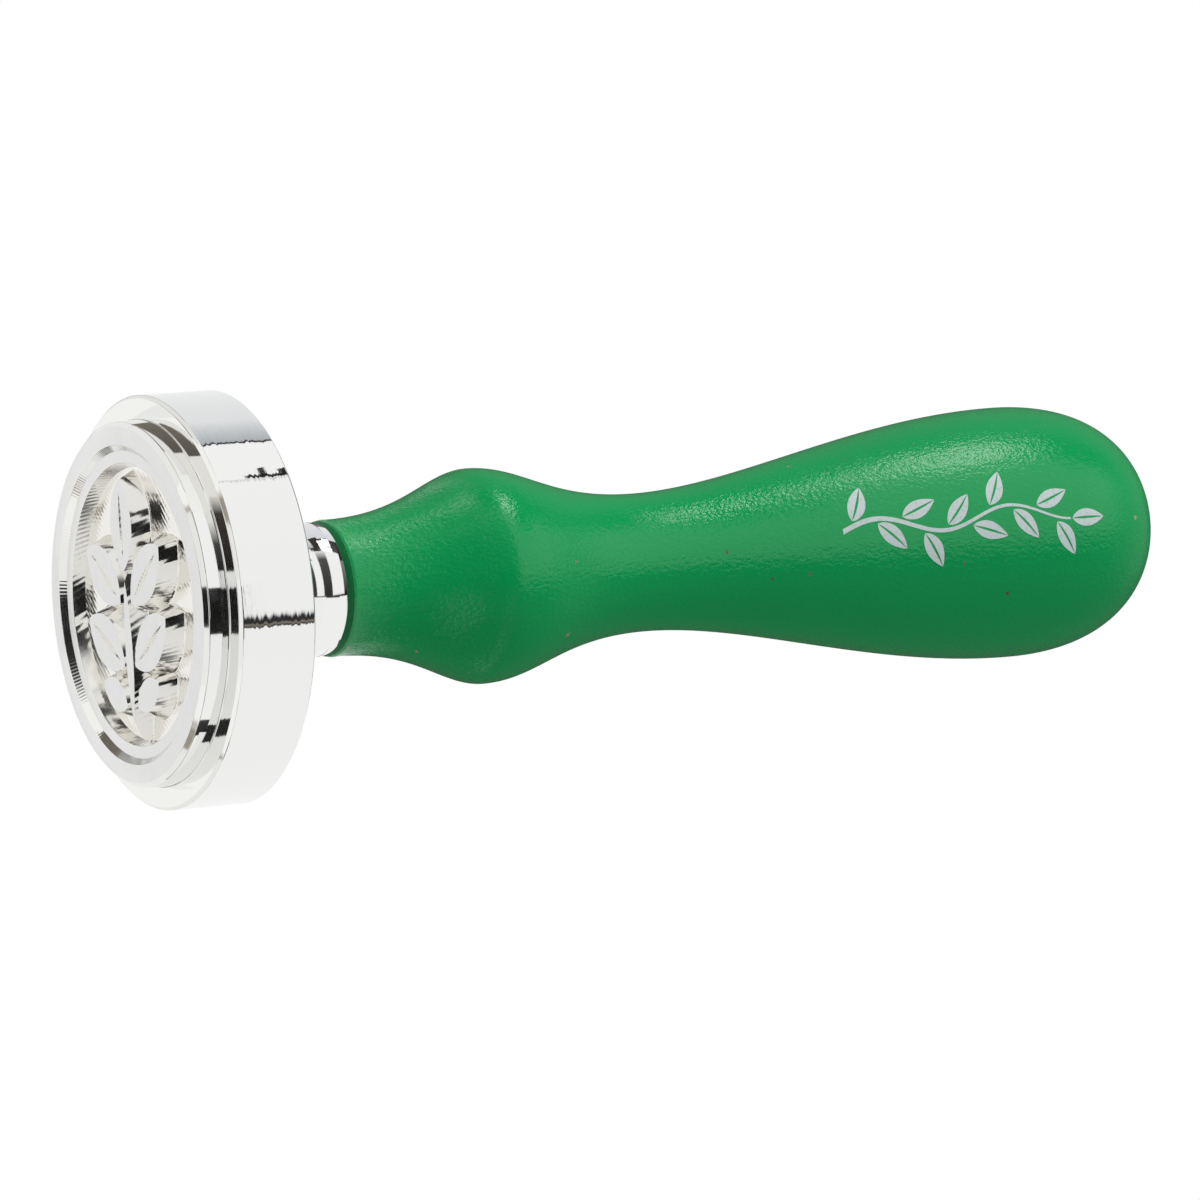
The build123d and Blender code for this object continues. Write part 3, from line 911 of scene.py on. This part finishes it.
def makeSurround():
    world = bpy.data.worlds.new("surround")
    bpy.context.scene.world = world
    world.use_nodes = True
    nodes, links = world.node_tree.nodes, world.node_tree.links
    ray = addNode(nodes, "ShaderNodeLightPath").outputs
    seen = joined(nodes, links, "MAXIMUM", ray["Is Glossy Ray"], ray["Is Transmission Ray"])

    # bright and dark strips that stand round the stamp
    place = addNode(nodes, "ShaderNodeTexCoord").outputs["Generated"]
    parts = addNode(nodes, "ShaderNodeSeparateXYZ")
    links.new(place, parts.inputs["Vector"])
    minusX = joined(nodes, links, "MULTIPLY", parts.outputs["X"], -1.0)
    minusY = joined(nodes, links, "MULTIPLY", parts.outputs["Y"], -1.0)
    turn = joined(nodes, links, "ARCTAN2", minusX, minusY)
    ramp = addNode(nodes, "ShaderNodeValToRGB")
    stops = ramp.color_ramp.elements
    stops.remove(stops[1])
    for i, (angle, level) in enumerate(studio["tent"]):
        stop = stops.new(angle / 360 + 0.5) if i else stops[0]
        stop.color = (level, level, level, 1)
    links.new(spread(nodes, links, turn, 0, 1, -math.pi, math.pi), ramp.inputs["Fac"])

    # below the stamp the surround is pale with warm patches, white behind the die and one dark spot
    below, spot, glare, overhead = studio["under"], studio["spot"], studio["glare"], studio["overhead"]
    patches = addNode(nodes, "ShaderNodeTexNoise", inputs={"Scale": below["scale"], "Detail": 3.0})
    links.new(place, patches.inputs["Vector"])
    shade = spread(nodes, links, patches.outputs["Fac"], 0, 1, *below["patches"])
    toGlare = joinedVectors(nodes, links, "DOT_PRODUCT", place, glare["middle"])
    lit = joined(nodes, links, "MAXIMUM", shade, spread(nodes, links, toGlare, 0, 1, *glare["reach"]))
    under = mixColours(nodes, links, lit, below["dark"], below["light"])
    toSpot = joinedVectors(nodes, links, "DOT_PRODUCT", place, spot["middle"])
    dark = spread(nodes, links, toSpot, 0, 1, *spot["reach"])
    under = mixColours(nodes, links, dark, under, spot["colour"])
    sink = spread(nodes, links, parts.outputs["Z"], 0, 1, *below["sink"], way="SMOOTHSTEP")
    tent = mixColours(nodes, links, sink, ramp.outputs["Color"], under)
    lift = spread(nodes, links, parts.outputs["Z"], 0, 1, *overhead["lift"], way="SMOOTHSTEP")
    tent = mixColours(nodes, links, lift, tent, overhead["colour"])

    # mirrors see the tent, the camera sees white, and the rest is even light
    ambient = studio["ambient"]
    light = mixColours(nodes, links, seen, (ambient, ambient, ambient, 1), tent)
    back = mixColours(nodes, links, ray["Is Camera Ray"], light, studio["backdrop"])
    links.new(back, nodes["Background"].inputs["Color"])


makeFloor()
makeSurround()
board = cardGlow()
for card in studio["cards"]:
    makeCard(board, *card)
middle = (cadLow + cadHigh) / 2
for lamp in studio["lamps"]:
    softLamp(*lamp, aim=middle)
bpy.context.scene.view_settings.view_transform = "Standard"
print("studio lit")

# camera: a long lens that looks up at the die, with the handle lying across the picture

photoView = {
    "lens": 210,
    "sensor": 36,
    "clip": (0.01, 20),
    "axisAway": 28.526,  # degrees that the handle leans away from the picture plane
    "axisRise": 4.924,  # degrees that it climbs across the picture
    "rimPlace": (-43.115 * mm, 0.472 * mm, 636.79 * mm),  # right, down and forward from the camera
}


def makeCamera():
    away, rise = math.radians(photoView["axisAway"]), math.radians(photoView["axisRise"])
    axis = Vector((math.cos(away) * math.cos(rise), -math.cos(away) * math.sin(rise), math.sin(away)))
    near = Vector((0, 1, 0)).cross(axis).normalized()
    down = axis.cross(near)
    toFrame = Matrix((down, -near, axis))  # from right, down and forward to the frame's axes
    camera = bpy.data.cameras.new("photoCamera")
    camera.lens = photoView["lens"]
    camera.sensor_width = photoView["sensor"]
    camera.clip_start, camera.clip_end = photoView["clip"]
    holder = bpy.data.objects.new("photoCamera", camera)
    turn = toFrame @ Matrix(((1, 0, 0), (0, -1, 0), (0, 0, -1)))
    holder.matrix_world = Matrix.Translation(-(toFrame @ Vector(photoView["rimPlace"]))) @ turn.to_4x4()
    bpy.context.scene.collection.objects.link(holder)
    bpy.context.scene.camera = holder


makeCamera()
print("camera set")
